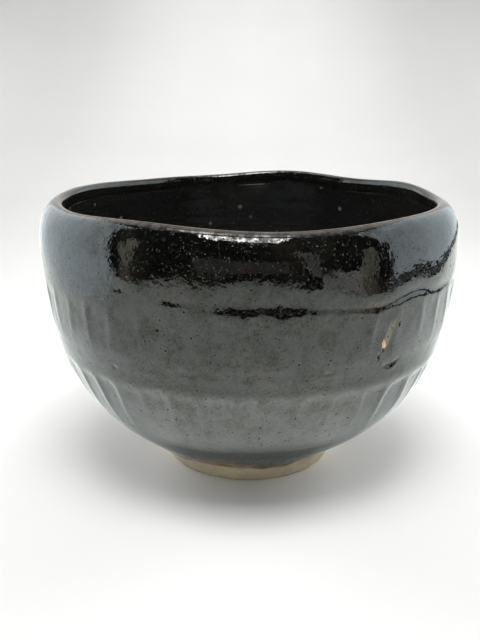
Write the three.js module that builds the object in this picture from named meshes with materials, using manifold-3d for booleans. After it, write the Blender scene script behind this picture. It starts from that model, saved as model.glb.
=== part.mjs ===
// A matcha tea bowl: a fluted stoneware body on a bare foot ring, under a black glaze.
// Millimetres, +Z up. The origin is the middle of the foot's flat underside, and -Y is the bowl's front.
import * as THREE from 'three';
import { mergeVertices } from 'three/addons/utils/BufferGeometryUtils.js';
import Module from 'manifold-3d';

// Driving dimensions
const WIDEST_RADIUS = 60;
const RIM_HEIGHT = 80;
const LIP_RADIUS = 53.6; // the rim's inner edge
const GLAZE_LINE_HEIGHT = 5.6; // where the outside glaze stops, just above the foot
const GLAZE_LINE_RADIUS = 28.3;
const FOOT_RADIUS = 25.3;
const FOOT_INNER_RADIUS = 19.5;
const FOOT_HEIGHT = 5.3;
const FOOT_FLARE = 2; // the foot is this much wider at its top
const FOOT_WAIST_FLARE = 0.8; // and this much half-way up
const FOOT_BORE_TAPER = 0.3; // the foot's inside narrows by this much towards its top
const FOOT_CHAMFER = 0.5;
const UNDERSIDE_RADIUS = 27.1; // the flat of the clay body that sits on the foot
const FLOOR_HEIGHT = 9.2; // the bottom of the bowl's inside
const GLAZE_THICKNESS = 0.8;
const INNER_GLAZE_THICKNESS = 0.7;
const GAP = 0.3; // between neighbouring solids
const MERGE_DISTANCE = 1e-4;
const BISECTIONS = 40; // enough to find a point of a profile exactly

const FLUTES = 44; // in each of the two rows
const SEGMENTS = 2 * FLUTES; // one facet edge on each ridge and one in each scoop
const INNER_SEGMENTS = FLUTES;

// The outside of the wall, from the glaze line to the rim's inner edge, as [radius, height].
const OUTSIDE = [
  [GLAZE_LINE_RADIUS, GLAZE_LINE_HEIGHT],
  [38.3, 12.9],
  [45.2, 18.8],
  [51.0, 26.2],
  [55.2, 35.0],
  [58.7, 48.0],
  [WIDEST_RADIUS, 61.5],
  [WIDEST_RADIUS, 69.5],
  [59.2, 75.4],
  [57.2, 78.8],
  [LIP_RADIUS, RIM_HEIGHT],
];
// The edge of the nearly flat middle of the floor, as [radius, height].
const FLOOR_EDGE = [12, 9.4];
// The inside of the bowl, from the middle of its floor to just under the lip.
const INSIDE = [
  [0, FLOOR_HEIGHT],
  FLOOR_EDGE,
  [22, 10.7],
  [30, 13.7],
  [38.4, 19.6],
  [45.0, 27.0],
  [49.6, 36.0],
  [52.9, 48.0],
  [54.8, 61.0],
  [55.0, 69.0],
  [54.2, 75.5],
];

const COAT_EDGE = { radius: 54.9, height: 79.75 }; // the outside glaze's top edge, beside the lip's bead
const COAT_EDGE_LEAN = 0.1; // the edge's face leans in by this much
const CLAY_CREST = [[55.35, 78.35], [55.05, 77.65]]; // the clay's narrow top, as [radius, height]
// The lip's bead, from its bottom up the side that faces the coat, over the rim and back down.
const LIP_BEAD = [
  [54.7, 75.8],
  [54.6, 78.95],
  [54.6, 79.85],
  [54.0, RIM_HEIGHT],
  [53.5, 79.6],
  [53.5, 78.4],
  [53.9, 75.8],
];

// Heights of the rows of facets: close together where the wall curves or a flute starts.
const OUTSIDE_ROWS = [
  GLAZE_LINE_HEIGHT, 10, 16, 23, 30, 36, 39.4, 40.4, 41.4, 46, 53, 59.5, 60.5, 61.5, 69.5, 75.4, 78.8,
];
const INSIDE_ROWS = [10.7, 13.7, 19.6, 27, 36, 48, 61, 75.5];

// Two rows of shallow scoops with narrow ridges between them. The lower row sits half a flute round.
const FLUTE_ROWS = [
  { top: 61.5, deepest: 59.5, bottom: 46, depth: 0.8, turn: 0 },
  { top: 41.4, deepest: 39.4, bottom: 30, depth: 0.8, turn: 0.5 },
];

// Where the rim rises and dips: the middle of each wave in degrees from +X, its height and its width.
const RIM_WAVES = [
  { at: 0, rise: -0.43, width: 10 },
  { at: 24, rise: 0.62, width: 9 },
  { at: 50, rise: -0.53, width: 9 },
  { at: 75, rise: 0.63, width: 10 },
  { at: 104, rise: -0.91, width: 11 },
  { at: 130, rise: -1.21, width: 14 },
  { at: 155, rise: -0.28, width: 12 },
  { at: 192, rise: -0.44, width: 14 },
  { at: 212, rise: -0.37, width: 10 },
  { at: 242, rise: 0.58, width: 12 },
  { at: 279, rise: -0.65, width: 14 },
  { at: 315, rise: 0.32, width: 12 },
];
const WAVE_START = 50; // the waves fade out below this height

// The grain of grit, and the hollow that holds it.
const GRIT = { angle: -56, height: 51, halfWidth: 1.2, halfHeight: 1.9, halfDepth: 1.1, embed: 0.75 };
const GRIT_SEGMENTS = { round: 12, high: 8 };

const wasm = await Module();
wasm.setup();

const outsideCurve = splineThrough(OUTSIDE);
const insideCurve = splineThrough(INSIDE);

function splineThrough(points) {
  return new THREE.SplineCurve(points.map(([radius, height]) => new THREE.Vector2(radius, height)));
}

// A point of a turned profile. It follows the flutes and waves of the wall at the height "at".
function spot(radius, height, at = height, fluted = false) {
  return Object.assign(new THREE.Vector2(radius, height), { at, fluted });
}

// The point of a rising profile at a height, moved outwards along the profile's normal.
function profileAt(curve, height, offset = 0, fluted = false) {
  let low = 0;
  let high = 1;
  for (let step = 0; step < BISECTIONS; step += 1) {
    const middle = (low + high) / 2;
    if (curve.getPoint(middle).y < height) low = middle;
    else high = middle;
  }
  const point = curve.getPoint(low);
  const tangent = curve.getTangent(low);
  return spot(point.x + offset * tangent.y, point.y - offset * tangent.x, height, fluted);
}

function smoothStep(start, end, value) {
  return THREE.MathUtils.smoothstep(value, start, end);
}

// How far a scoop is cut in at an angle (radians) and height. Ridges fall on even facet edges.
function fluteDepth(angle, height) {
  return FLUTE_ROWS.reduce((sum, row) => {
    const along = height > row.deepest
      ? 1 - smoothStep(row.deepest, row.top, height)
      : smoothStep(row.bottom, row.deepest, height);
    const round = 0.5 - 0.5 * Math.cos(FLUTES * angle + 2 * Math.PI * row.turn);
    return sum + row.depth * along * round;
  }, 0);
}

// How far the wall is raised or lowered by the hand-cut rim's waves.
function waveRise(angle, height) {
  const rim = RIM_WAVES.reduce((sum, wave) => {
    const degrees = THREE.MathUtils.radToDeg(angle);
    const away = THREE.MathUtils.euclideanModulo(degrees - wave.at + 180, 360) - 180;
    return sum + wave.rise * Math.exp(-0.5 * (away / wave.width) ** 2);
  }, 0);
  return rim * smoothStep(WAVE_START, RIM_HEIGHT, height);
}

// Moves each vertex of a turned profile by the flutes and by the rim's waves.
function shapeByHand(geometry, profile) {
  const position = geometry.getAttribute('position');
  for (let i = 0; i < position.count; i += 1) {
    const { at, fluted } = profile[i % profile.length];
    const point = new THREE.Vector3().fromBufferAttribute(position, i);
    const angle = Math.atan2(point.y, point.x);
    const radius = Math.hypot(point.x, point.y) - (fluted ? fluteDepth(angle, at) : 0);
    position.setXYZ(i, radius * Math.cos(angle), radius * Math.sin(angle), point.z + waveRise(angle, at));
  }
}

// A closed solid: a profile turned about +Z, with its flutes and waves and its shared vertices merged.
function turned(profile, segments) {
  const geometry = new THREE.LatheGeometry(profile, segments).rotateX(Math.PI / 2);
  shapeByHand(geometry, profile);
  return bare(geometry);
}

// The same geometry with shared vertices merged, and nothing kept but their positions.
function bare(geometry) {
  geometry.deleteAttribute('normal');
  geometry.deleteAttribute('uv');
  return mergeVertices(geometry, MERGE_DISTANCE);
}

// A profile that runs anticlockwise back to its first point, so its faces point out.
function closed(points) {
  return [...points, points[0]];
}

function rows(curve, heights, offset, fluted) {
  return heights.map((height) => profileAt(curve, height, offset, fluted));
}

// A table of [radius, height] as plain points, lowered by a drop.
function spots(table, drop = 0) {
  return table.map(([radius, height]) => spot(radius, height - drop));
}

function toSolid(geometry) {
  return new wasm.Manifold(new wasm.Mesh({
    numProp: 3,
    vertProperties: new Float32Array(geometry.getAttribute('position').array),
    triVerts: new Uint32Array(geometry.index.array),
  }));
}

function toGeometry(solid) {
  const mesh = solid.getMesh();
  const geometry = new THREE.BufferGeometry();
  geometry.setAttribute('position', new THREE.BufferAttribute(mesh.vertProperties, 3));
  geometry.setIndex(new THREE.BufferAttribute(mesh.triVerts, 1));
  return geometry;
}

function withHollow(geometry, hollow) {
  return toGeometry(toSolid(geometry).subtract(toSolid(hollow)));
}

// A pebble-shaped grain at the grit's place, grown all over by a clearance.
function gritPebble(clearance) {
  const { angle, height, halfWidth, halfHeight, halfDepth, embed } = GRIT;
  const turn = THREE.MathUtils.degToRad(angle);
  const surface = profileAt(outsideCurve, height).x - fluteDepth(turn, height);
  return bare(new THREE.SphereGeometry(1, GRIT_SEGMENTS.round, GRIT_SEGMENTS.high)
    .scale(halfDepth + clearance, halfWidth + clearance, halfHeight + clearance)
    .translate(surface - embed, 0, height)
    .rotateZ(turn));
}

function clayBody() {
  const coat = GLAZE_THICKNESS + GAP;
  const lining = INNER_GLAZE_THICKNESS + GAP;
  const underside = FOOT_HEIGHT + GAP;
  const body = turned([
    spot(0, underside),
    spot(UNDERSIDE_RADIUS, underside),
    ...rows(outsideCurve, OUTSIDE_ROWS, -coat, true),
    ...spots(CLAY_CREST),
    ...rows(insideCurve, INSIDE_ROWS, lining, false).reverse(),
    ...spots([FLOOR_EDGE, [0, FLOOR_HEIGHT]], lining),
  ], SEGMENTS);
  return withHollow(body, gritPebble(GAP));
}

function footRing() {
  return turned(closed([
    spot(FOOT_INNER_RADIUS + FOOT_CHAMFER, 0),
    spot(FOOT_RADIUS - FOOT_CHAMFER, 0),
    spot(FOOT_RADIUS, FOOT_CHAMFER),
    spot(FOOT_RADIUS + FOOT_WAIST_FLARE, FOOT_HEIGHT / 2),
    spot(FOOT_RADIUS + FOOT_FLARE, FOOT_HEIGHT),
    spot(FOOT_INNER_RADIUS - FOOT_BORE_TAPER, FOOT_HEIGHT),
    spot(FOOT_INNER_RADIUS, FOOT_CHAMFER),
  ]), INNER_SEGMENTS);
}

function outerGlaze() {
  const coat = turned(closed([
    ...rows(outsideCurve, OUTSIDE_ROWS, 0, true),
    spot(COAT_EDGE.radius, COAT_EDGE.height),
    spot(COAT_EDGE.radius - COAT_EDGE_LEAN, COAT_EDGE.height - GLAZE_THICKNESS, COAT_EDGE.height),
    ...rows(outsideCurve, OUTSIDE_ROWS, -GLAZE_THICKNESS, true).reverse(),
  ]), SEGMENTS);
  return withHollow(coat, gritPebble(GAP));
}

function innerGlaze() {
  return turned([
    ...spots([[0, FLOOR_HEIGHT], FLOOR_EDGE], INNER_GLAZE_THICKNESS),
    ...rows(insideCurve, INSIDE_ROWS, INNER_GLAZE_THICKNESS, false),
    ...rows(insideCurve, INSIDE_ROWS, 0, false).reverse(),
    ...spots([FLOOR_EDGE, [0, FLOOR_HEIGHT]]),
  ], INNER_SEGMENTS);
}

function lipGlaze() {
  return turned(closed(spots(LIP_BEAD)), SEGMENTS);
}

const GLAZE = { color: 0x17181a, roughness: 0.12, metalness: 0 };
const LIP = { color: 0x3a2413, roughness: 0.2, metalness: 0 };
const CLAY = { color: 0xb9a48c, roughness: 0.85, metalness: 0 };
const GRAIN = { color: 0xc49a5e, roughness: 0.8, metalness: 0 };

function part(name, geometry, finish) {
  const mesh = new THREE.Mesh(geometry, new THREE.MeshStandardMaterial(finish));
  mesh.name = name;
  return mesh;
}

const bowl = new THREE.Group();
bowl.add(
  part('clay_body', clayBody(), CLAY),
  part('foot_ring', footRing(), CLAY),
  part('outer_glaze', outerGlaze(), GLAZE),
  part('lip_glaze', lipGlaze(), LIP),
  part('inner_glaze', innerGlaze(), GLAZE),
  part('grit_fleck', gritPebble(0), GRAIN),
);

export default bowl;
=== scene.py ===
"""A matcha tea bowl: a fluted wall under black glaze, a bare clay foot, and a plain studio around it.

The shape tables are in millimetres, as in the CAD part, and MM turns them into Blender's metres.
The bowl stands on the middle of the world, with its front towards -Y.
"""
import math

import bpy
import numpy as np
from mathutils import Euler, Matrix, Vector


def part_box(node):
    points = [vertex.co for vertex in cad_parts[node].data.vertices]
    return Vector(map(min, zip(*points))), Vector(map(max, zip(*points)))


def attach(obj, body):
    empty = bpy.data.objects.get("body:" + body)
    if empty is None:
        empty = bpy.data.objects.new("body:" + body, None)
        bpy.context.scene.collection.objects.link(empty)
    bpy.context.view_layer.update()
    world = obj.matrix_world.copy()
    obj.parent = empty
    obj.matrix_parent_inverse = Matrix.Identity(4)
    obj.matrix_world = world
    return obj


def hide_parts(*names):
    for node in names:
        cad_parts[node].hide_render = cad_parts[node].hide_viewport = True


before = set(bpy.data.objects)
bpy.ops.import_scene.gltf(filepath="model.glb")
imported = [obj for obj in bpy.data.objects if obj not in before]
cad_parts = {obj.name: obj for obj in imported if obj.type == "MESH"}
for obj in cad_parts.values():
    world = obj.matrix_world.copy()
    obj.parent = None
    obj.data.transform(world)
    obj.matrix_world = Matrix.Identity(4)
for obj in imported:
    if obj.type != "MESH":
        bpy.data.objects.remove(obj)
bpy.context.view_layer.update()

MM = 0.001

# ---------------------------------------------------------------- sizes, from the CAD model
GLAZE_LOW, GLAZE_HIGH = (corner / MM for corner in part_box("outer_glaze"))
FOOT_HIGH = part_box("foot_ring")[1] / MM
RECESS_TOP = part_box("clay_body")[0].z / MM
GRIT_LOW, GRIT_HIGH = (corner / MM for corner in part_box("grit_fleck"))

WIDEST = GLAZE_HIGH.x
GLAZE_LINE = GLAZE_LOW.z
FOOT_TOP = FOOT_HIGH.z
FOOT_FLARE = 2.0  # the foot is this much wider at its top
FOOT_RADIUS = FOOT_HIGH.x - FOOT_FLARE
FOOT_INNER = 19.5
FOOT_MIDDLE = 22.4  # the middle of the flat that it stands on
GLAZE_THICKNESS = 0.8
SHELL_DEPTH = 1.6  # how far the clay's outside lies inside the glaze's face
LINING_DEPTH = 1.4  # and how far its inside does
RIM_HEIGHT = 80.0

# The outside of the wall, as [radius, height], from the glaze line to the rim's crest.
OUTSIDE = [
    (28.3, GLAZE_LINE), (38.3, 12.9), (45.2, 18.8), (51.0, 26.2), (55.2, 35.0), (58.7, 48.0),
    (WIDEST, 61.5), (WIDEST, 69.5), (59.15, 75.3), (57.75, 78.1), (56.4, 79.4), (54.9, 79.98),
]
# Over the rim from the crest of the outside glaze, down the inside and to the middle of the floor.
INSIDE = [
    (54.9, 79.98), (54.2, 79.9), (53.65, 79.55), (53.3, 78.9), (53.2, 78.0), (53.25, 76.9), (53.45, 75.6),
    (54.3, 70.5), (54.8, 61.0), (52.9, 48.0), (49.6, 36.0), (45.0, 27.0), (38.4, 19.6), (30.0, 13.7),
    (22.0, 10.7), (12.0, 9.4), (0.0, 9.2),
]
LIP_LOW = 75.6  # where the lip's glaze meets the inside's

# ---------------------------------------------------------------- the bowl's irregularities
# Where the rim rises and dips: the middle of each wave in degrees from +X, its rise and its width.
# The rises come from a least-squares fit to the rim's outline.
RIM_WAVES = [
    (0, -0.43, 10), (24, 0.62, 9), (50, -0.53, 9), (75, 0.63, 10),
    (104, -0.91, 11), (130, -1.21, 14), (155, -0.28, 12), (192, -0.44, 14),
    (212, -0.37, 10), (242, 0.58, 12), (279, -0.65, 14), (315, 0.32, 12),
]
WAVE_START = 50.0  # the waves fade out below this height

FLUTES = 44
# Each row of scoops: where it starts and ends, its depth, and the ridges (degrees from +X) on the front,
# which a peak finder measured and of which about two thirds were then moved one by one. The others are
# evenly spaced, with a little scatter.
UPPER_FLUTES = dict(
    top=61.4, bottom=44.5, arch=0.5, entry=4.5, depth=0.27, seed=11,
    ridges=(-147.8, -140.1, -132.4, -124.5, -115.1, -106.9, -98.9, -91.0, -83.0, -75.0, -68.0, -60.6,
            -52.2, -43.2, -34.6, -26.8, -18.6),
)
LOWER_FLUTES = dict(
    top=40.0, bottom=19.5, arch=1.9, entry=3.2, depth=0.34, seed=12,
    ridges=(-152.0, -143.8, -135.2, -126.6, -118.0, -110.0, -101.7, -93.5, -85.6, -77.4, -68.6, -59.8,
            -50.6, -41.7, -32.9),
)
# Turned grooves (and, with a negative depth, raised rings): height, width, depth, how far they waver.
GROOVES = [
    (39.6, 2.3, -0.24, 0.3), (45.4, 1.2, 0.05, 0.3), (24.0, 0.5, 0.05, 0.2), (20.6, 0.5, 0.04, 0.2),
    (16.0, 0.8, 0.05, 0.3),
]
# The broken line under the shoulder: degrees from +X, the height of its bottom, how far it reaches
# below that, and its depth. It comes and goes on its way round.
LINE = np.array([
    (-180, 62.5, 0.8, 0.10), (-150, 62.5, 0.8, 0.02), (-126, 64.4, 0.8, 0.0), (-121.5, 64.5, 0.6, 0.09),
    (-118, 64.3, 0.6, 0.05), (-115.5, 63.6, 0.6, 0.0), (-111.5, 63.2, 0.6, 0.0), (-109, 63.1, 0.7, 0.17),
    (-105.5, 63.0, 0.7, 0.14), (-102.5, 63.2, 0.8, 0.04), (-98.5, 63.3, 1.6, 0.14), (-94, 63.5, 2.4, 0.31),
    (-86, 63.2, 2.6, 0.34), (-79.5, 63.0, 2.1, 0.26), (-77, 62.4, 1.0, 0.12), (-72, 61.8, 0.7, 0.18),
    (-66, 61.3, 0.8, 0.27), (-58, 61.4, 0.8, 0.30), (-51, 61.9, 0.8, 0.31), (-43, 62.2, 0.8, 0.31),
    (-34, 61.4, 0.8, 0.28), (-25, 60.4, 0.7, 0.24), (0, 61.5, 0.8, 0.12), (40, 62.0, 0.7, 0.07),
    (90, 61.3, 0.9, 0.13), (140, 62.3, 0.8, 0.09),
])

# ---------------------------------------------------------------- number helpers


def smooth(start, end, value):
    """0 at start, 1 at end, with a soft ramp between them."""
    t = np.clip((value - start) / (end - start), 0, 1)
    return t * t * (3 - 2 * t)


def bump_at(value, middle, width):
    """A bell of height 1."""
    return np.exp(-(((value - middle) / width) ** 2))


def turned_from(angle, middle):
    """How far an angle is from another, in degrees, the short way round."""
    return (angle - middle + 180) % 360 - 180


def facing(angle, middle, start, end):
    """1 near an angle, fading to 0 from start to end degrees to either side of it."""
    return 1 - smooth(start, end, np.abs(turned_from(angle, middle)))


def spline(points, count=4000):
    """A natural cubic spline through points, as count samples (radius, height)."""
    points = np.array(points, float)
    at = np.r_[0, np.cumsum(np.hypot(*np.diff(points, axis=0).T))]
    step = np.diff(at)
    slope = np.diff(points, axis=0) / step[:, None]
    n = len(points)
    system = np.eye(n)
    target = np.zeros((n, 2))
    for i in range(1, n - 1):
        system[i, i - 1:i + 2] = step[i - 1], 2 * (step[i - 1] + step[i]), step[i]
        target[i] = 6 * (slope[i] - slope[i - 1])
    curve = np.linalg.solve(system, target)
    u = np.linspace(0, at[-1], count)
    k = np.clip(np.searchsorted(at, u) - 1, 0, n - 2)
    a = ((at[k + 1] - u) / step[k])[:, None]
    b = 1 - a
    bend = (step[k] ** 2 / 6)[:, None]
    return (a * points[k] + b * points[k + 1]
            + bend * ((a ** 3 - a) * curve[k] + (b ** 3 - b) * curve[k + 1]))


END_ROW = 0.03  # mm from a profile's end to its next row, which keeps the end's shading crisp


def spread(profile, count, density=None):
    """count points along a sampled profile: evenly spaced, or closer together where density is high."""
    length = np.hypot(*np.diff(profile, axis=0).T)
    weight = length if density is None else length * density((profile[1:, 1] + profile[:-1, 1]) / 2)
    at = np.r_[0, np.cumsum(weight)]
    want = np.linspace(0, at[-1], count - 2)
    want = np.r_[0, END_ROW, want[1:-1], at[-1] - END_ROW, at[-1]]
    return np.stack([np.interp(want, at, profile[:, i]) for i in (0, 1)], axis=1)


def normals_of(profile):
    """Unit normals of a profile, to the right of its direction."""
    along = np.gradient(profile, axis=0)
    along /= np.hypot(*along.T)[:, None]
    return np.stack([along[:, 1], -along[:, 0]], axis=1)


class Wobble:
    """A smooth random field round the bowl, made of seeded waves. Periodic in the angle."""

    def __init__(self, seed, turns, wavelengths, count=14):
        rng = np.random.default_rng(seed)
        self.turns = rng.integers(turns[0], turns[1] + 1, count)
        self.rise = rng.choice([-1, 1], count) * 2 * math.pi / rng.uniform(*wavelengths, count)
        self.phase = rng.uniform(0, 2 * math.pi, count)
        self.size = 1 / math.sqrt(count / 2)

    def __call__(self, angle, height):
        total = 0
        for turns, rise, phase in zip(self.turns, self.rise, self.phase):
            total = total + np.sin(np.radians(angle) * turns + height * rise + phase)
        return total * self.size


def parts_of(profile, height):
    """A profile that runs down, cut in two at a height."""
    k = int(np.argmax(profile[:, 1] < height))
    return profile[:k + 1], profile[k:]


slow_wobble = Wobble(3, (2, 6), (40, 90))
wall_wobble = Wobble(5, (9, 26), (14, 34), 20)
skin_wobble = Wobble(7, (50, 110), (4, 9), 26)


# ---------------------------------------------------------------- the wall's shape


def rim_wave(angle, height):
    """The rim's rise or dip at an angle (degrees), fading out down the wall."""
    rise = sum(size * np.exp(-0.5 * (turned_from(angle, at) / width) ** 2) for at, size, width in RIM_WAVES)
    return rise * smooth(WAVE_START, RIM_HEIGHT, height)


def ridge_angles(row):
    """The angles of a row's ridges, rising, with one more past a full turn."""
    rng = np.random.default_rng(row["seed"])
    placed = np.array(row["ridges"])
    gap = 360 / FLUTES
    free = 360 - (placed[-1] - placed[0])
    count = round(free / gap)
    rest = placed[-1] + free / count * np.arange(1, count) + rng.uniform(-0.7, 0.7, count - 1)
    return np.r_[placed, rest, placed[0] + 360]


def scoops(row, angle, height):
    """How deep a row of scoops cuts at an angle (degrees) and height (mm)."""
    rng = np.random.default_rng(row["seed"] + 100)
    ridges = ridge_angles(row)
    lean = wall_wobble(angle, height) * 0.35
    around = (angle + lean - ridges[0]) % 360 + ridges[0]
    k = np.clip(np.searchsorted(ridges, around) - 1, 0, len(ridges) - 2)
    across = (around - ridges[k]) / (ridges[k + 1] - ridges[k])
    side = np.abs(2 * across - 1)
    deep = rng.uniform(0.65, 1.25, len(ridges))[k]
    top = row["top"] + rng.uniform(-0.6, 0.6, len(ridges))[k] - row["arch"] * side ** 2.5
    bottom = row["bottom"] + rng.uniform(-1.5, 1.5, len(ridges))[k]
    hollow = (1 - side ** 3) * (1 - np.exp(-(((1 - side) / 0.2) ** 2)))
    enter = smooth(0, row["entry"], top - height)
    leave = smooth(0, 1, (height - bottom) / (row["top"] - row["entry"] - row["bottom"]))
    return row["depth"] * deep * hollow * enter * leave


# The scar on the right of the front: a shallow hollow, leaning to the right as it rises, with a crescent
# fold of pulled glaze under it.
SCAR = dict(bottom=(-55.8, 49.0), top=(-52.4, 58.6), half_width=1.0, depth=0.22)
FOLD = dict(angle=-52.5, height=44.3, half_width=2.9, bow=1.0, tilt=0.25, thickness=0.42, depth=0.55)
PITS = [  # angle, height, half width (degrees), half height (mm), depth (mm)
    (-57.0, 47.7, 0.33, 0.75, 0.5), (-51.7, 55.4, 0.33, 0.5, 0.45), (-54.6, 52.6, 0.25, 0.4, 0.35),
    (-53.7, 54.6, 0.22, 0.4, 0.3), (-55.9, 49.2, 0.25, 0.35, 0.3), (-120.5, 65.2, 0.45, 0.4, 0.15),
    (-71.7, 59.8, 0.45, 0.4, 0.35), (-65.9, 59.2, 0.45, 0.4, 0.35), (-71.1, 45.2, 0.4, 0.4, 0.35),
    (-61.5, 42.5, 0.45, 0.4, 0.35), (-70.2, 35.3, 0.4, 0.4, 0.35), (-69.8, 30.0, 0.55, 0.5, 0.4),
    (-74.3, 27.1, 0.55, 0.5, 0.4), (-63.1, 29.6, 0.4, 0.4, 0.3), (-90.0, 34.7, 0.4, 0.35, 0.3),
    (-121.5, 39.0, 0.45, 0.5, 0.35), (-125.2, 43.6, 0.8, 0.6, 0.3), (-111.3, 56.2, 0.4, 0.4, 0.3),
    (-112.7, 39.1, 0.7, 0.6, 0.2),
]


def scar_across(angle, height):
    """How far to the side of the scar's middle line a point is, in half widths."""
    (start, low), (end, high) = SCAR["bottom"], SCAR["top"]
    return turned_from(angle, start + (end - start) * (height - low) / (high - low)) / SCAR["half_width"]


def scar_along(height):
    """1 along the scar's length, fading at both ends."""
    low, high = SCAR["bottom"][1], SCAR["top"][1]
    return smooth(low - 0.6, low + 1.0, height) * (1 - smooth(high - 3.5, high, height))


def scar_depth(angle, height):
    """The scar's hollow, the dark fold under it and the larger pits."""
    depth = SCAR["depth"] * scar_along(height) * np.exp(-scar_across(angle, height) ** 2)
    across = turned_from(angle, FOLD["angle"]) / FOLD["half_width"]
    fold = FOLD["height"] + FOLD["bow"] * across ** 2 + FOLD["tilt"] * across
    ends = np.clip(1 - across ** 2, 0, 1)
    depth = depth + FOLD["depth"] * ends * bump_at(height, fold, FOLD["thickness"])
    depth = depth - 0.14 * ends * bump_at(height, fold - 2.1 * FOLD["thickness"], 1.5 * FOLD["thickness"])
    for at, high, half_width, half_height, deep in PITS:
        reach = (turned_from(angle, at) / half_width) ** 2 + ((height - high) / half_height) ** 2
        depth = depth + deep * np.exp(-reach) - 0.1 * deep * np.exp(-((np.sqrt(reach) - 1.9) ** 2) * 3)
    return depth


def groove_depth(angle, height):
    """The turned grooves and rings, which waver a little on their way round."""
    depth = 0
    for i, (at, width, deep, waver) in enumerate(GROOVES):
        shift = waver * slow_wobble(angle + 37 * i, 20.0 * i)
        strength = 1 + 0.35 * slow_wobble(angle + 61 * i, 11.0 * i + 5)
        depth = depth + deep * strength * bump_at(height, at + shift, width)
    bottom, below, deep = (np.interp(angle, LINE[:, 0], LINE[:, i], period=360) for i in (1, 2, 3))
    bottom = bottom + 0.25 * wall_wobble(angle, 62.0)
    reach = np.where(height < bottom, below, 1.3 * below + 0.4)
    return depth + deep * bump_at(height, bottom, reach)


def outside_depth(angle, height):
    """How far the outside lies inside its plain turned outline."""
    hand = 0.16 * slow_wobble(angle, height) + 0.035 * wall_wobble(angle, height)
    skin = 0.0045 * skin_wobble(angle, height)
    calm = 1 - smooth(76.5, 79.6, height)
    return (hand + skin) * (0.35 + 0.65 * calm) + (
        scoops(UPPER_FLUTES, angle, height) + scoops(LOWER_FLUTES, angle, height)
        + groove_depth(angle, height) + scar_depth(angle, height))


# ---------------------------------------------------------------- mesh helpers


def closed_mesh(name, angles, radius, height, material, ring):
    """A mesh from rows of points round the axis. ring joins the last row to the first; otherwise the
    first and last rows are closed with a fan to a point on the axis."""
    rows, columns = radius.shape
    turn = np.radians(angles)
    points = np.stack([radius * np.cos(turn), radius * np.sin(turn), height + 0 * turn], axis=-1)
    points = points.reshape(-1, 3)
    last = rows if ring else rows - 1
    i, j = np.meshgrid(np.arange(last), np.arange(columns), indexing="ij")
    below, above = i * columns, ((i + 1) % rows) * columns
    after = (j + 1) % columns
    quads = np.stack([below + j, below + after, above + after, above + j], axis=-1).reshape(-1, 4).tolist()
    if not ring:
        ends = [len(points), len(points) + 1]
        points = np.vstack([points, [0, 0, height[0].mean()], [0, 0, height[-1].mean()]])
        top = (rows - 1) * columns
        for c in range(columns):
            d = (c + 1) % columns
            quads.append([d, c, ends[0]])
            quads.append([top + c, top + d, ends[1]])
    mesh = bpy.data.meshes.new(name)
    mesh.from_pydata((points * MM).tolist(), [], quads)
    mesh.validate()
    mesh.update()
    mesh.shade_smooth()
    mesh.materials.append(material)
    piece = bpy.data.objects.new(name, mesh)
    bpy.context.scene.collection.objects.link(piece)
    return piece


def place(piece, node):
    """The piece stands for a CAD node and rides on the bowl's one body."""
    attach(piece, "root")
    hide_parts(node)


def paint(piece, name, values, back_rows):
    """Stores a number for each vertex of the face, after the back's rows, for the material to read."""
    layer = piece.data.attributes.new(name, "FLOAT", "POINT")
    full = np.zeros(len(piece.data.vertices), np.float32)
    start = back_rows * values.shape[1]
    full[start:start + values.size] = values.ravel()
    layer.data.foreach_set("value", full)


def shifted(profile, normal, depth, columns):
    """Rows of radius and height for a profile moved inwards by depth (rows x columns)."""
    radius = profile[:, :1] - normal[:, :1] * depth
    height = profile[:, 1:] - normal[:, 1:] * depth
    return radius + np.zeros((1, columns)), height + np.zeros((1, columns))


# ---------------------------------------------------------------- materials


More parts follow.
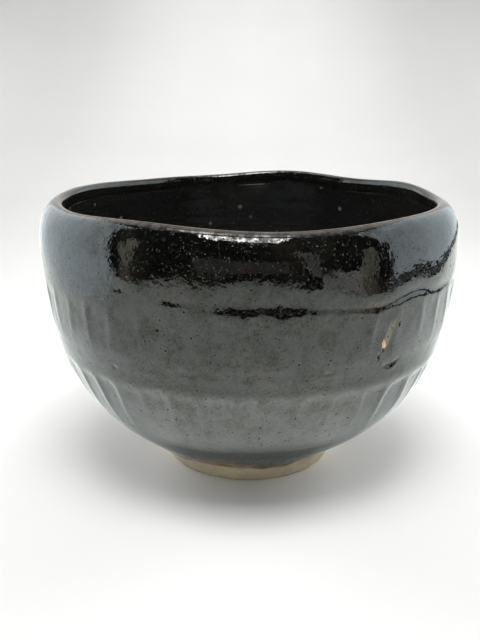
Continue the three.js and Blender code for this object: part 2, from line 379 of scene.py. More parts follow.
class Nodes:
    """Short calls for building a material's node tree."""

    def __init__(self, name):
        self.material = bpy.data.materials.new(name)
        self.material.use_nodes = True
        self.tree = self.material.node_tree
        self.shader = self.tree.nodes["Principled BSDF"]
        self.coords = self.tree.nodes.new("ShaderNodeTexCoord").outputs["Object"]

    def link(self, source, target):
        if isinstance(source, bpy.types.NodeSocket):
            self.tree.links.new(source, target)
        else:
            target.default_value = source

    def math(self, operation, a, b=0.0, c=0.0):
        node = self.tree.nodes.new("ShaderNodeMath")
        node.operation = operation
        for value, socket in zip((a, b, c), node.inputs):
            self.link(value, socket)
        return node.outputs[0]

    def ramp(self, value, low, high, start=0.0, end=1.0):
        """value from low to high, softly, mapped onto start to end."""
        node = self.tree.nodes.new("ShaderNodeMapRange")
        node.interpolation_type = "SMOOTHSTEP"
        sources = {"Value": value, "From Min": low, "From Max": high, "To Min": start, "To Max": end}
        for key, source in sources.items():
            self.link(source, node.inputs[key])
        return node.outputs["Result"]

    def noise(self, size_mm, detail=2.0, roughness=0.5, offset=0.0, tall=1.0):
        """Noise whose blobs are about size_mm across and tall times as high, from 0 to 1."""
        node = self.tree.nodes.new("ShaderNodeTexNoise")
        node.noise_dimensions = "4D"
        scaled = self.tree.nodes.new("ShaderNodeVectorMath")
        scaled.operation = "MULTIPLY"
        self.tree.links.new(self.coords, scaled.inputs[0])
        scaled.inputs[1].default_value = (1, 1, 1 / tall)
        self.tree.links.new(scaled.outputs[0], node.inputs["Vector"])
        node.inputs["W"].default_value = offset
        node.inputs["Scale"].default_value = 1 / (size_mm * MM)
        node.inputs["Detail"].default_value = detail
        node.inputs["Roughness"].default_value = roughness
        return node.outputs["Fac"]

    def spots(self, cell_mm, radius, share, soft=0.5, offset=0.0):
        """1 in round spots, in a share of cells cell_mm across. radius is a part of a cell."""
        node = self.tree.nodes.new("ShaderNodeTexVoronoi")
        moved = self.tree.nodes.new("ShaderNodeVectorMath")
        self.tree.links.new(self.coords, moved.inputs[0])
        moved.inputs[1].default_value = (offset, offset, offset)
        self.tree.links.new(moved.outputs[0], node.inputs["Vector"])
        node.inputs["Scale"].default_value = 1 / (cell_mm * MM)
        split = self.tree.nodes.new("ShaderNodeSeparateColor")
        self.tree.links.new(node.outputs["Color"], split.inputs[0])
        size = self.ramp(split.outputs[1], 0.0, 1.0, radius * 0.5, radius)
        edge = self.math("MULTIPLY", size, soft)
        spot = self.ramp(node.outputs["Distance"], edge, size, 1.0, 0.0)
        chosen = self.math("LESS_THAN", split.outputs[0], share)
        return self.math("MULTIPLY", spot, chosen)

    def mix(self, amount, a, b):
        """Colour a where amount is 0, b where it is 1."""
        node = self.tree.nodes.new("ShaderNodeMix")
        node.data_type = "RGBA"
        self.link(amount, node.inputs[0])
        for value, socket in ((a, node.inputs[6]), (b, node.inputs[7])):
            self.link(value if isinstance(value, bpy.types.NodeSocket) else (*value, 1.0), socket)
        return node.outputs[2]

    def curve(self, value, stops, reach):
        """value mapped through straight lines between (position, height) stops."""
        node = self.tree.nodes.new("ShaderNodeValToRGB")
        elements = node.color_ramp.elements
        for _ in stops[2:]:
            elements.new(0.5)
        for element, (at, height) in zip(elements, stops):
            element.position = at / reach
            element.color = (height, height, height, 1)
        self.link(self.math("DIVIDE", value, reach), node.inputs[0])
        return node.outputs[0]

    def attribute(self, name):
        node = self.tree.nodes.new("ShaderNodeAttribute")
        node.attribute_name = name
        return node.outputs["Fac"]

    def height_mm(self):
        node = self.tree.nodes.new("ShaderNodeSeparateXYZ")
        self.tree.links.new(self.coords, node.inputs[0])
        return self.math("DIVIDE", node.outputs[2], MM)

    def bump(self, height, depth_mm, under=None):
        """A bump whose height of 1 stands depth_mm proud."""
        node = self.tree.nodes.new("ShaderNodeBump")
        node.inputs["Strength"].default_value = 1.0
        node.inputs["Distance"].default_value = depth_mm * MM
        self.tree.links.new(height, node.inputs["Height"])
        if under is not None:
            self.tree.links.new(under, node.inputs["Normal"])
        return node.outputs["Normal"]

    def finish(self, color, roughness, normal, ior):
        self.link(color, self.shader.inputs["Base Color"])
        self.link(roughness, self.shader.inputs["Roughness"])
        self.link(normal, self.shader.inputs["Normal"])
        self.shader.inputs["IOR"].default_value = ior
        return self.material


GLAZE_IOR = 1.8  # iron-rich glaze, more lustrous than glass


def glaze_material(name, base, brown_where_thin=1.0, painted_glint_specks=0.0):
    """Black iron glaze: olive and brown mottling, pinholes with painted shade, orange peel, brown where it
    runs thin, painted breaks in the rim's highlight, and pale specks as painted glints where asked.
    """
    n = Nodes(name)
    cloud = n.ramp(n.noise(15, 4, 0.6), 0.45, 0.72)
    rust = n.ramp(n.noise(9, 3, 0.6, 3.0), 0.58, 0.75)
    black = n.mix(cloud, base, (0.0105, 0.0100, 0.0070))
    black = n.mix(rust, black, (0.014, 0.0075, 0.0045))
    freckle = n.ramp(n.noise(0.9, 3, 0.6, 4.0), 0.56, 0.74)
    black = n.mix(n.math("MULTIPLY", freckle, 0.5), black, (0.022, 0.020, 0.013))
    thin = n.math("MULTIPLY", n.attribute("thin"), brown_where_thin)
    thin = n.math("MULTIPLY", thin, n.ramp(n.noise(2.0, 3, 0.6, 9.0), 0.3, 0.62, 0.45, 1.0))
    coat = n.mix(thin, black, (0.21, 0.125, 0.062))
    coat = n.mix(n.attribute("ash"), coat, (0.20, 0.19, 0.12))
    # Painted glints: pale specks in the glaze's colour, standing for small bumps that catch the light.
    specks = n.math("MULTIPLY", n.spots(5.0, 0.23, 0.5, 0.1, 3.0), painted_glint_specks)
    coat = n.mix(specks, coat, (0.20, 0.205, 0.21))
    large = n.spots(2.3, 0.17, 0.7, 0.3)
    small = n.spots(1.0, 0.24, 0.6, 0.4, 7.0)
    tiny = n.spots(0.55, 0.28, 0.6, 0.35, 8.0)
    fine = n.math("MAXIMUM", n.math("MULTIPLY", small, 0.8), n.math("MULTIPLY", tiny, 0.45))
    holes = n.math("MAXIMUM", large, fine)
    # Painted shade: the pinholes' colour is darkened towards black.
    coat = n.mix(n.math("MULTIPLY", holes, 0.8), coat, (0.002, 0.0018, 0.0015))
    wide_patch = n.ramp(n.noise(5.5, 4, 0.65, 2.0), 0.48, 0.7)
    patch = n.math("MULTIPLY", wide_patch, n.ramp(n.noise(0.8, 2, 0.5, 5.5), 0.3, 0.6))
    rough = n.math("MULTIPLY_ADD", patch, 0.22, 0.035)
    rough = n.math("MULTIPLY_ADD", holes, 0.5, rough)
    blotch = n.ramp(n.noise(4.5, 5, 0.7, 11.0), 0.42, 0.63)
    streak = n.math("MULTIPLY", n.ramp(n.noise(2.2, 3, 0.6, 13.0, 7.0), 0.46, 0.70), 0.45)
    olive = n.math("MAXIMUM", n.math("MAXIMUM", n.attribute("pool"), blotch), streak)
    grain = n.ramp(n.noise(0.55, 3, 0.7, 12.0), 0.35, 0.72, 0.2, 1.0)
    sheen = n.mix(n.math("MULTIPLY", olive, grain), (1.0, 1.0, 1.0), (0.45, 0.455, 0.34))
    dust = n.ramp(n.noise(0.6, 3, 0.7, 14.0), 0.42, 0.68, 0.0, 0.24)
    # Painted highlight: patches on the rim where the sheen is cut, breaking up the lamp's highlight.
    painted_highlight_breaks = n.math("MULTIPLY", n.attribute("rim"), n.ramp(n.noise(1.9, 3, 0.6, 15.0), 0.40, 0.58))
    # Painted shade: the sheen is cut to black in the pinholes and where the rim's highlight is broken up;
    # the dust only dulls it.
    dark = n.math("MAXIMUM", n.math("MAXIMUM", n.math("MULTIPLY", holes, 0.8), dust), painted_highlight_breaks)
    sheen = n.mix(dark, sheen, (0.0, 0.0, 0.0))
    n.link(sheen, n.shader.inputs["Specular Tint"])
    peel = n.bump(n.noise(3.2, 2, 0.5, 5.0), 0.05)
    peel = n.bump(n.noise(1.25, 1.5, 0.5, 6.0), 0.05, peel)
    peel = n.bump(n.noise(0.5, 2, 0.5, 6.5), 0.008, peel)
    pits = n.bump(n.math("SUBTRACT", 1.0, holes), 0.10, peel)
    return n.finish(coat, rough, pits, GLAZE_IOR)


def clay_material():
    """Bare stoneware: fine sandy grain, dark specks, an ochre flash beside the glaze, and darker towards
    the bottom.
    """
    n = Nodes("bare_clay")
    height = n.height_mm()
    cloud = n.ramp(n.noise(6, 3, 0.6), 0.35, 0.7)
    grain = n.ramp(n.noise(0.45, 2, 0.6, 3.0), 0.4, 0.7)
    color = n.mix(cloud, (0.45, 0.39, 0.27), (0.55, 0.48, 0.335))
    color = n.mix(n.math("MULTIPLY", grain, 0.45), color, (0.33, 0.27, 0.19))
    specks = n.spots(1.3, 0.16, 0.2, 0.4, 2.0)
    color = n.mix(n.math("MULTIPLY", specks, 0.7), color, (0.16, 0.10, 0.06))
    ragged = n.math("ADD", height, n.math("MULTIPLY", n.noise(2.2, 3, 0.6, 8.0), 1.6))
    flash = n.ramp(ragged, 4.9, 6.2)
    color = n.mix(n.math("MULTIPLY", flash, 0.85), color, (0.29, 0.205, 0.06))
    ground = n.ramp(ragged, 0.7, 1.5, 0.35, 0.0)
    color = n.mix(ground, color, (0.24, 0.19, 0.15))
    rough = n.ramp(n.noise(1.5, 2, 0.5, 1.0), 0.3, 0.7, 0.72, 0.92)
    sand = n.bump(n.noise(0.35, 3, 0.65, 3.0), 0.07)
    holes = n.bump(n.math("SUBTRACT", 1.0, specks), 0.06, sand)
    return n.finish(color, rough, holes, 1.5)


def grit_material():
    """An ochre grain of feldspar and sand."""
    n = Nodes("grit")
    color = n.mix(n.ramp(n.noise(0.7, 3, 0.6), 0.35, 0.65), (0.62, 0.36, 0.14), (0.74, 0.58, 0.36))
    color = n.mix(n.ramp(n.noise(0.4, 2, 0.6, 3.0), 0.58, 0.7), color, (0.16, 0.09, 0.04))
    rough = n.ramp(n.noise(0.5, 2, 0.5, 1.0), 0.3, 0.7, 0.45, 0.8)
    return n.finish(color, rough, n.bump(n.noise(0.3, 3, 0.6, 5.0), 0.08), 1.5)


# ---------------------------------------------------------------- the bowl's pieces

# How finely each piece is divided: columns round the axis, rows on its face and rows on its hidden back.
COLUMNS = 600
OUTSIDE_ROWS, OUTSIDE_BACK_ROWS = 150, 12
LIP_ROWS, LIP_BACK_ROWS = 22, 5
INNER_COLUMNS, INNER_ROWS, INNER_BACK_ROWS = 280, 96, 14
CLAY_COLUMNS = 176
FOOT_COLUMNS = 352
GRAIN_COLUMNS, GRAIN_ROWS = 40, 24

FRONT, BACK = -92, 92  # degrees from +X
SCAR_TURN = -53.8


def columns_round():
    """The coat's columns, in degrees from -180: closer together in front, and closest at the scar."""
    at = np.linspace(-180, 180, 7201)
    middle = (at[1:] + at[:-1]) / 2
    density = (1 + 0.9 * bump_at(turned_from(middle, -90), 0, 75)
               + 3.5 * bump_at(turned_from(middle, SCAR_TURN), 0, 5))
    total = np.r_[0, np.cumsum(density)]
    return np.interp(np.arange(COLUMNS) / COLUMNS * total[-1], total, at)


ANGLES = columns_round()


def even_columns(count):
    """Evenly spaced columns, in degrees from -180."""
    return np.arange(count) * 360 / count - 180


def coat_mesh(name, angles, face, normal, radius, level, thickness, back_rows, material, ring):
    """A coat of glaze: its face, and a plain back a thickness behind it."""
    picks = np.linspace(len(face) - 1, 0, back_rows).astype(int)
    back_radius = radius[picks] - normal[picks, :1] * thickness
    back_level = level[picks] - normal[picks, 1:] * thickness
    all_radius = np.vstack([back_radius, radius])
    all_level = np.vstack([back_level, level])
    return closed_mesh(name, angles, all_radius, all_level, material, ring)


def outer_glaze(material):
    """The outside coat, with its flutes, grooves and scar."""
    face = spread(spline(OUTSIDE), OUTSIDE_ROWS,
                  lambda z: 1 + 1.6 * bump_at(z, 50, 7.5) + 0.8 * bump_at(z, 79, 3))
    normal = normals_of(face)
    angle, height = ANGLES[None, :], face[:, 1:]
    depth = outside_depth(angle, height)
    radius, level = shifted(face, normal, depth, COLUMNS)
    level = level + rim_wave(angle, height)
    edge = 0.35 * slow_wobble(angle, 3.0) + 0.12 * wall_wobble(angle, 5.0)
    level = level + edge * (1 - smooth(GLAZE_LINE, GLAZE_LINE + 4, height))
    bulge = bump_at(turned_from(angle, -172), 0, 14) + 0.7 * bump_at(turned_from(angle, -8), 0, 16)
    thin = (0.35 * smooth(79.6, 79.95, height) + 0.55 * bulge * bump_at(height, 76.5, 2.0)
            + 0.75 * (1 - smooth(GLAZE_LINE, GLAZE_LINE + 0.9, height))
            + 0.5 * bump_at(turned_from(angle, -60), 0, 4) * bump_at(height, 61.5, 0.5))
    ash = 0.75 * scar_along(height) * bump_at(scar_across(angle, height), 0.2, 0.8)
    piece = coat_mesh("outer_glaze_coat", ANGLES, face, normal, radius, level, GLAZE_THICKNESS,
                      OUTSIDE_BACK_ROWS, material, True)
    paint(piece, "thin", np.clip(thin, 0, 1), OUTSIDE_BACK_ROWS)
    paint(piece, "ash", ash, OUTSIDE_BACK_ROWS)
    # The rim's painted highlight breaks, only on the front, where the lamp's highlight shows.
    in_front = facing(angle, FRONT, 24, 42)
    paint(piece, "rim", 0.9 * smooth(77.0, 78.5, height) * in_front, OUTSIDE_BACK_ROWS)
    pool = 0.8 * bump_at(height, 40.9, 2.0) + 0.5 * bump_at(height, 17, 4) + 0.9 * bump_at(height, 9, 4)
    pool = pool + 0.25 * slow_wobble(angle, height) * (pool > 0.05)
    paint(piece, "pool", np.clip(pool, 0, 1), OUTSIDE_BACK_ROWS)
    place(piece, "outer_glaze")


def lip_glaze(material):
    """The bead over the rim's inner edge, thinned to brown along its crest."""
    face = spread(parts_of(spline(INSIDE), LIP_LOW)[0], LIP_ROWS)
    normal = normals_of(face)
    angle, height = ANGLES[None, :], face[:, 1:]
    hand = 0.04 * wall_wobble(angle, height) * (1 - smooth(78, 79.9, height))
    radius, level = shifted(face, normal, hand, COLUMNS)
    level = level + rim_wave(angle, height)
    piece = coat_mesh("lip_glaze_bead", ANGLES, face, normal, radius, level, GLAZE_THICKNESS,
                      LIP_BACK_ROWS, material, True)
    paint(piece, "thin", bump_at(face[:, :1] + 0 * radius, 54.7, 0.3) * (height > 79), LIP_BACK_ROWS)
    # The lip's painted highlight breaks, on its back and front, where the lamp's highlight shows.
    shown = np.maximum(facing(angle, BACK, 25, 40), facing(angle, FRONT, 24, 42))
    paint(piece, "rim", 0.9 * shown * smooth(77.0, 78.0, height), LIP_BACK_ROWS)
    place(piece, "lip_glaze")


def inner_glaze(material):
    """The coat inside the bowl, down to the tea pool in its floor."""
    angles = even_columns(INNER_COLUMNS)
    face = spread(parts_of(spline(INSIDE), LIP_LOW)[1], INNER_ROWS)[:-1]
    normal = normals_of(face)
    angle, height = angles[None, :], face[:, 1:]
    rings = 0.05 * np.sin(height * 1.35) * smooth(14, 24, height) * (1 - smooth(66, 74, height))
    hand = 0.12 * slow_wobble(angle + 40, height) + 0.03 * wall_wobble(angle + 15, height)
    fade = smooth(3, 15, face[:, :1])
    depth = (rings + hand * fade) * (1 - smooth(73, LIP_LOW, height))
    radius, level = shifted(face, normal, depth, INNER_COLUMNS)
    level = level + rim_wave(angle, height)
    piece = coat_mesh("inner_glaze_coat", angles, face, normal, radius, level, GLAZE_THICKNESS,
                      INNER_BACK_ROWS, material, False)
    place(piece, "inner_glaze")


def clay_body(material):
    """The clay under the glaze. Only the floor of the foot's recess and a line above the foot show."""
    angles = even_columns(CLAY_COLUMNS)
    outline = [
        (0.6, RECESS_TOP - 0.35), (2.5, RECESS_TOP - 0.25), (5, RECESS_TOP + 0.05), (9, RECESS_TOP + 0.1),
        (14, RECESS_TOP + 0.05), (19, RECESS_TOP), (24, RECESS_TOP), (27.3, RECESS_TOP),
    ]
    under = spread(spline(outline), 46)
    spiral = 0.06 * np.sin(under[:, :1] * 2.4 + np.radians(angles)[None, :]) * smooth(2, 6, under[:, :1])
    wall = spline(OUTSIDE)
    shell = spread(wall - normals_of(wall) * SHELL_DEPTH, 24)[:-1]
    hollow = parts_of(spline(INSIDE), LIP_LOW)[1]
    lining = spread(hollow - normals_of(hollow) * LINING_DEPTH, 30)[:-1]
    profile = np.vstack([under, shell, lining])
    radius = profile[:, :1] + np.zeros((1, CLAY_COLUMNS))
    level = profile[:, 1:] + rim_wave(angles[None, :], profile[:, 1:])
    level[:len(under)] += spiral
    piece = closed_mesh("clay_body_and_recess", angles, radius, level, material, False)
    place(piece, "clay_body")


def foot_ring(material):
    """The trimmed foot: a rounded wearing edge, knife facets and small chips."""
    angles = even_columns(FOOT_COLUMNS)
    r, inner = FOOT_RADIUS, FOOT_INNER
    outline = [
        (inner + 1.2, 0.0), (FOOT_MIDDLE, 0.0), (r - 0.9, 0.0), (r - 0.3, 0.15), (r, 0.6), (r + 0.35, 1.6),
        (r + 0.75, 2.8), (r + 1.25, 4.2), (r + FOOT_FLARE, FOOT_TOP),
    ]
    outer = spread(spline(outline), 44)
    back = [(r + 1.2, FOOT_TOP + 0.2), (FOOT_MIDDLE, FOOT_TOP + 0.25), (inner + 0.1, FOOT_TOP + 0.2)]
    bore = [(inner - 0.2, FOOT_TOP), (inner + 0.1, 3.2), (inner + 0.3, 1.2), (inner + 0.65, 0.3),
            (inner + 1.15, 0.0)]
    bore = spread(spline(bore), 24)[:-1]
    profile = np.vstack([outer, back, bore])
    normal = normals_of(profile)
    angle, height = angles[None, :], profile[:, 1:]
    side = smooth(0.3, 1.4, height) * (1 - smooth(FOOT_TOP - 0.6, FOOT_TOP, height))
    facets = 0.12 * slow_wobble(angle, 2.0) + 0.05 * wall_wobble(angle, height * 2)
    chips = 0.10 * np.clip(wall_wobble(angle + 90, 3.0), 0, 2)
    wear = chips * bump_at(height, 0.35, 0.5) * (profile[:, :1] > 23)
    radius, level = shifted(profile, normal, facets * side + wear, FOOT_COLUMNS)
    piece = closed_mesh("foot_ring_trimmed", angles, radius, np.maximum(level, 0), material, True)
    place(piece, "foot_ring")


def grit_fleck(material):
    """A rough grain in the scar's hollow."""
    middle = (GRIT_LOW + GRIT_HIGH) / 2
    turn = math.atan2(middle.y, middle.x)
    rng = np.random.default_rng(21)
    angles = np.arange(GRAIN_COLUMNS) * 360 / GRAIN_COLUMNS
    tilt = np.linspace(0, math.pi, GRAIN_ROWS + 2)[1:-1, None]
    lumps = sum(0.10 * np.sin(k * np.radians(angles)[None, :] + m * tilt + rng.uniform(0, 6))
                for k, m in ((2, 2), (3, 1), (4, 3), (5, 4), (7, 5)))
    size = 1 + lumps * np.sin(tilt)
    piece = closed_mesh("grit_grain", angles, size * np.sin(tilt), -size * np.cos(tilt), material, False)
    half = Vector((1.05, 1.0, 1.75))  # half the grain's depth, width and height
    sunk = 0.15
    for vertex in piece.data.vertices:
        x, y, z = vertex.co / MM
        depth, across = x * half.x, y * half.y
        reach = math.hypot(middle.x, middle.y) - sunk + depth
        vertex.co = Vector((
            reach * math.cos(turn) - across * math.sin(turn),
            reach * math.sin(turn) + across * math.cos(turn),
            middle.z + z * half.z,
        )) * MM
    place(piece, "grit_fleck")


# ---------------------------------------------------------------- the studio

GLOSS_ONLY = dict(camera=False, diffuse=False, shadow=False)
UNSEEN = dict(camera=False, glossy=False, shadow=False)


def stage_mesh(name, corners, material, **visible):
    """A flat card of the studio. visible says which rays don't see it."""
    mesh = bpy.data.meshes.new(name)
    mesh.from_pydata([tuple(c) for c in corners], [], [list(range(len(corners)))])
    mesh.materials.append(material)
    card = bpy.data.objects.new(name, mesh)
    bpy.context.scene.collection.objects.link(card)
    for key, value in visible.items():
        setattr(card, "visible_" + key, value)


def upright(name, start, end, low, high, color, strength, **visible):
    """An upright glowing card between two points of the floor."""
    corners = [(*start, low), (*end, low), (*end, high), (*start, high)]
    stage_mesh(name, corners, glow(name, color, strength), **visible)


def level_card(name, x, y, height, color, strength):
    """A level glowing card over spans of x and y, which only the gloss sees."""
    corners = [(x[0], y[0], height), (x[1], y[0], height), (x[1], y[1], height), (x[0], y[1], height)]
    stage_mesh(name, corners, glow(name, color, strength), **GLOSS_ONLY)


# Painted light and shade: how the paper greys with metres behind the bowl, and to either side of its
# middle, standing in for the fall of the studio's light.
PAPER_SHADE_BEHIND = [
    (0.0, 1.0), (0.05, 0.93), (0.10, 0.86), (0.16, 0.79), (0.32, 0.70), (0.45, 0.70), (0.60, 0.735),
    (0.73, 0.81), (0.85, 0.89), (1.0, 0.98),
]
PAPER_SHADE_BESIDE = [
    (0.0, 1.0), (0.08, 0.96), (0.13, 0.89), (0.17, 0.81), (0.20, 0.75), (0.25, 0.70), (0.32, 0.68),
    (1.0, 0.66),
]


def matt(name, color):
    """Plain paper, with painted shade that makes it a little greyer away from the bowl, and a trace of
    unevenness.
    """
    n = Nodes(name)
    split = n.tree.nodes.new("ShaderNodeSeparateXYZ")
    n.tree.links.new(n.coords, split.inputs[0])
    # Painted shade on the paper, by distance behind and beside the bowl.
    behind = n.curve(n.math("MAXIMUM", split.outputs[1], 0.0), PAPER_SHADE_BEHIND, 1.0)
    beside = n.curve(n.math("ABSOLUTE", split.outputs[0]), PAPER_SHADE_BESIDE, 1.0)
    shade = n.ramp(n.noise(120, 2, 0.5), 0.3, 0.7, 0.98, 1.0)
    tone = n.mix(n.math("MULTIPLY", n.math("MULTIPLY", behind, beside), shade), (0, 0, 0), color)
    n.link(tone, n.shader.inputs["Base Color"])
    n.shader.inputs["Roughness"].default_value = 0.9
    n.shader.inputs["Specular IOR Level"].default_value = 0.1
    return n.material


def glow(name, color, strength):
    material = bpy.data.materials.new(name)
    material.use_nodes = True
    shader = material.node_tree.nodes["Principled BSDF"]
    shader.inputs["Base Color"].default_value = (0, 0, 0, 1)
    shader.inputs["Emission Color"].default_value = (*color, 1)
    shader.inputs["Emission Strength"].default_value = strength
    return material


# How bright the lit table looks in the glaze, by metres from the bowl's axis or in front of it: the
# bowl's shadow in front and to the sides, the bright ring beside the bowl, and the fall to the front.
SHADOW_GLOW = [
    (0.0, 0.06), (0.030, 0.08), (0.036, 0.14), (0.044, 0.55), (0.050, 0.76), (0.058, 0.88), (0.068, 1.0),
]
SIDE_SHADOW_GLOW = [
    (0.0, 0.06), (0.030, 0.18), (0.036, 0.22), (0.043, 0.28), (0.047, 0.35), (0.054, 0.47), (0.064, 0.61),
    (0.076, 0.72), (0.088, 0.82), (0.105, 0.93), (0.13, 0.97), (0.17, 0.92), (0.24, 0.88),
]
NEAR_GLOW = [(0.0, 0.6), (0.068, 0.6), (0.082, 0.45), (0.10, 0.25), (0.12, 0.1), (0.15, 0.0)]
FORWARD_GLOW = [
    (0.0, 1.5), (0.03, 1.36), (0.06, 1.24), (0.09, 1.20), (0.15, 1.14), (0.19, 1.10), (0.25, 0.90),
    (0.28, 0.74), (0.32, 0.6),
]
GLOW_REACH = 0.33
BRIGHTEST = 2.0


def table_glow():
    """The table as the glaze sees it: dark in the bowl's shadow, brightest beside it."""
    n = Nodes("table_glow")
    length = n.tree.nodes.new("ShaderNodeVectorMath")
    length.operation = "LENGTH"
    n.tree.links.new(n.coords, length.inputs[0])
    split = n.tree.nodes.new("ShaderNodeSeparateXYZ")
    n.tree.links.new(n.coords, split.inputs[0])
    across = n.math("DIVIDE", n.math("ABSOLUTE", split.outputs[0]), length.outputs["Value"])
    side = n.ramp(across, 0.60, 0.98)
    front_shade = n.curve(length.outputs["Value"], SHADOW_GLOW, GLOW_REACH)
    side_shade = n.curve(length.outputs["Value"], SIDE_SHADOW_GLOW, GLOW_REACH)
    shade = n.math("MULTIPLY_ADD", side, n.math("SUBTRACT", side_shade, front_shade), front_shade)
    near = n.curve(length.outputs["Value"], NEAR_GLOW, GLOW_REACH)
    forward = n.curve(n.math("MULTIPLY", split.outputs[1], -1.0), FORWARD_GLOW, GLOW_REACH)
    level = n.math("MULTIPLY", shade, n.math("ADD", near, forward))
    tint = n.mix(side, (0.945, 1.0, 0.945), (0.93, 0.985, 0.955))
    glowing = n.mix(n.math("DIVIDE", level, BRIGHTEST), (0, 0, 0), tint)
    n.shader.inputs["Base Color"].default_value = (0, 0, 0, 1)
    n.tree.links.new(glowing, n.shader.inputs["Emission Color"])
    n.shader.inputs["Emission Strength"].default_value = BRIGHTEST
    return n.material


def cove(material):
    """A pale floor that curves up into a wall all round. The bowl's gloss doesn't see it."""
    flat, curve, top, columns = 0.36, 1.0, 2.4, 96
    profile = [(r * flat, 0.0) for r in (0.02, 0.1, 0.3, 0.6, 1.0)]
    bend = np.radians(np.arange(3, 91, 3))
    profile += [(flat + curve * math.sin(a), curve - curve * math.cos(a)) for a in bend]
    profile += [(flat + curve, top)]
    turn = np.arange(columns) * 2 * math.pi / columns
    verts = [(r * math.cos(a), r * math.sin(a), z) for r, z in profile for a in turn]
    faces = [list(range(columns))]
    for i in range(len(profile) - 1):
        for j in range(columns):
            k = (j + 1) % columns
            faces.append([i * columns + k, i * columns + j, (i + 1) * columns + j, (i + 1) * columns + k])
    mesh = bpy.data.meshes.new("floor_and_backdrop")
    mesh.from_pydata(verts, [], faces)
    mesh.shade_smooth()
    mesh.materials.append(material)
    floor = bpy.data.objects.new("floor_and_backdrop", mesh)
    bpy.context.scene.collection.objects.link(floor)
    floor.visible_glossy = False


def area_light(name, size, watts, location, tilt, **visible):
    """A soft light that points down, tilted by some degrees about X."""
    data = bpy.data.lights.new(name, "AREA")
    data.shape = "RECTANGLE"
    data.size, data.size_y = size
    data.energy = watts
    lamp = bpy.data.objects.new(name, data)
    lamp.location = location
    lamp.rotation_euler = (math.radians(tilt), 0, 0)
    for key, value in visible.items():
        setattr(lamp, "visible_" + key, value)
    bpy.context.scene.collection.objects.link(lamp)


# What the gloss sees round the bowl, in metres. The table lies a hair above the floor.
TABLE_LIFT = 0.00003
TABLE_EDGE = [
    (-0.34, -0.10), (-0.33, -0.17), (-0.29, -0.24), (-0.25, -0.28), (-0.19, -0.32), (0.02, -0.32),
    (0.19, -0.30), (0.28, -0.12), (0.28, 0.6), (-0.34, 0.6),
]
SIDE = 0.25  # how far to each side the pale panels stand
PANEL_FRONT, PANEL_BACK = -0.104, 0.45
LEFT_TOP, RIGHT_TOP = 0.36, 0.42
BLUE_WHITE = (0.83, 0.94, 1.0)
OLIVE, BROWN = (1.0, 0.98, 0.78), (1.0, 0.85, 0.62)
LEFT_EDGE, RIGHT_EDGE = -SIDE + 0.001, SIDE - 0.001  # just in front of the panels
UPRIGHT_CARDS = [  # name, start, end, bottom, top, colour, strength
    ("edge_left", (LEFT_EDGE, -0.03), (LEFT_EDGE, 0.10), 0.338, 0.36, (0.62, 0.80, 1.0), 3.0),
    ("edge_right", (RIGHT_EDGE, -0.03), (RIGHT_EDGE, 0.05), 0.285, 0.305, (0.7, 0.85, 1.0), 2.3),
    ("back_in_gloss", (-0.7, 0.6), (0.7, 0.6), 0.0, 1.6, (1, 1, 0.98), 0.8),
    ("post_left", (-SIDE, -0.135), (-SIDE, -0.172), 0.048, 0.200, OLIVE, 0.62),
    ("post_left_foot", (-SIDE, -0.135), (-SIDE, -0.172), 0.020, 0.048, BROWN, 0.26),
    ("post_right", (SIDE, -0.145), (SIDE, -0.180), 0.040, 0.150, OLIVE, 0.50),
    ("post_right_foot", (SIDE, -0.145), (SIDE, -0.180), 0.012, 0.040, BROWN, 0.28),
    ("room_in_gloss", (-0.45, -0.9), (0.35, -0.9), -0.05, 0.22, (1.0, 0.95, 0.88), 0.13),
    ("post_far", (0.352, -0.685), (0.42, -0.64), 0.0, 0.45, (1, 1, 1), 0.33),
    ("table_curl", (0.19, -0.30), (0.285, -0.16), 0.0, 0.046, (1, 1, 0.97), 0.72),
]
LEVEL_CARDS = [  # name, span of x, span of y, height, colour, strength
    ("table_strip", (0.312, 0.345), (-0.2, 0.6), TABLE_LIFT, (0.9, 0.95, 1.0), 0.24),
    ("ceiling_in_gloss", (-0.9, 0.9), (-0.05, 0.6), 1.6, (1, 1, 0.97), 0.7),
    ("roof_light_in_gloss", (-0.45, 0.3), (0.1, 0.6), 1.55, (1, 1, 0.98), 5.0),
    ("lamp_in_gloss", (-0.25, 0.25), (-0.56, -0.12), 1.04, (1, 1, 1), 16.0),
]


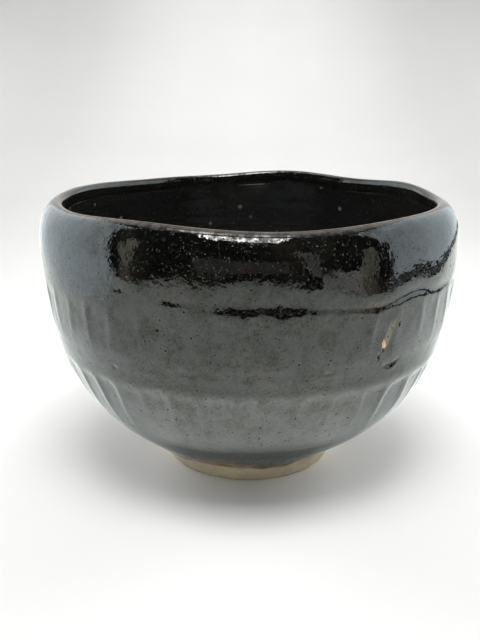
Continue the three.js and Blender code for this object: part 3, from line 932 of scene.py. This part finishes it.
def studio():
    cove(matt("paper", (0.86, 0.86, 0.85)))
    stage_mesh("table_in_gloss", [(x, y, TABLE_LIFT) for x, y in TABLE_EDGE], table_glow(), **GLOSS_ONLY)
    left_outline = [
        (PANEL_FRONT, 0), (PANEL_BACK, 0), (PANEL_BACK, LEFT_TOP), (-0.03, LEFT_TOP), (PANEL_FRONT, 0.08),
    ]
    stage_mesh("panel_left", [(-SIDE, y, z) for y, z in left_outline],
               glow("panel_left", BLUE_WHITE, 1.56), **GLOSS_ONLY)
    upright("panel_right", (SIDE, PANEL_FRONT), (SIDE, PANEL_BACK), 0.028, RIGHT_TOP, BLUE_WHITE, 1.38,
            **GLOSS_ONLY)
    for sign in (-1, 1):
        x = 0.5 * sign
        upright(f"side_light_{sign + 1}", (x, 0.1), (x, 0.7), 0.0, 0.5, (1, 1, 1), 5.7, **UNSEEN)
    upright("wall_light", (-0.9, 1.0), (0.9, 1.0), 0.9, 1.8, (1, 1, 1), 1.3, **UNSEEN)
    for card in UPRIGHT_CARDS:
        upright(*card, **GLOSS_ONLY)
    for card in LEVEL_CARDS:
        level_card(*card)
    area_light("softbox", (0.50, 0.46), 7.6, (0.0, -0.34, 1.05), 0, glossy=False)
    area_light("strip_light", (2.4, 0.12), 1.1, (0.0, -0.28, 1.05), 0, glossy=False)
    world = bpy.data.worlds.new("room")
    world.use_nodes = True
    background = world.node_tree.nodes["Background"]
    background.inputs[0].default_value = (0.96, 0.98, 1.0, 1)
    background.inputs[1].default_value = 0.04
    world.cycles_visibility.glossy = False
    bpy.context.scene.world = world
    bpy.context.scene.view_settings.view_transform = "Standard"


# The camera, fitted to the bowl's outline: metres in front of the axis and above the floor, its tilt and
# roll in degrees, and its lens.
CAMERA_DISTANCE = 0.2313
CAMERA_HEIGHT = 0.1141
CAMERA_TILT = 17.47
CAMERA_ROLL = 0.38
LENS_MM = 44.415
SENSOR_MM = 36.0
FRAME_SHIFT = -0.01359375  # in parts of the sensor


def camera():
    data = bpy.data.cameras.new("camera")
    data.sensor_width = SENSOR_MM
    data.lens = LENS_MM
    data.shift_x = FRAME_SHIFT
    data.clip_start = 0.01
    camera_object = bpy.data.objects.new("camera", data)
    camera_object.location = (0.0, -CAMERA_DISTANCE, CAMERA_HEIGHT)
    look = Euler((math.radians(90 - CAMERA_TILT), 0, 0)).to_matrix()
    roll = Euler((0, 0, math.radians(CAMERA_ROLL))).to_matrix()
    camera_object.rotation_euler = (look @ roll).to_euler()
    bpy.context.scene.collection.objects.link(camera_object)
    bpy.context.scene.camera = camera_object


clay = clay_material()
outer_glaze(glaze_material("black_glaze", (0.0032, 0.0034, 0.0031)))
lip_glaze(glaze_material("brown_glaze", (0.006, 0.006, 0.005), 0.72))
# Painted light: the inside's glaze has a lighter base than the outside's, making up for the dimmer light
# inside the bowl, and pale specks as painted glints.
inner_glaze(glaze_material("inner_black_glaze", (0.012, 0.0128, 0.0122), 0.0, 1.0))
clay_body(clay)
foot_ring(clay)
grit_fleck(grit_material())
studio()
camera()
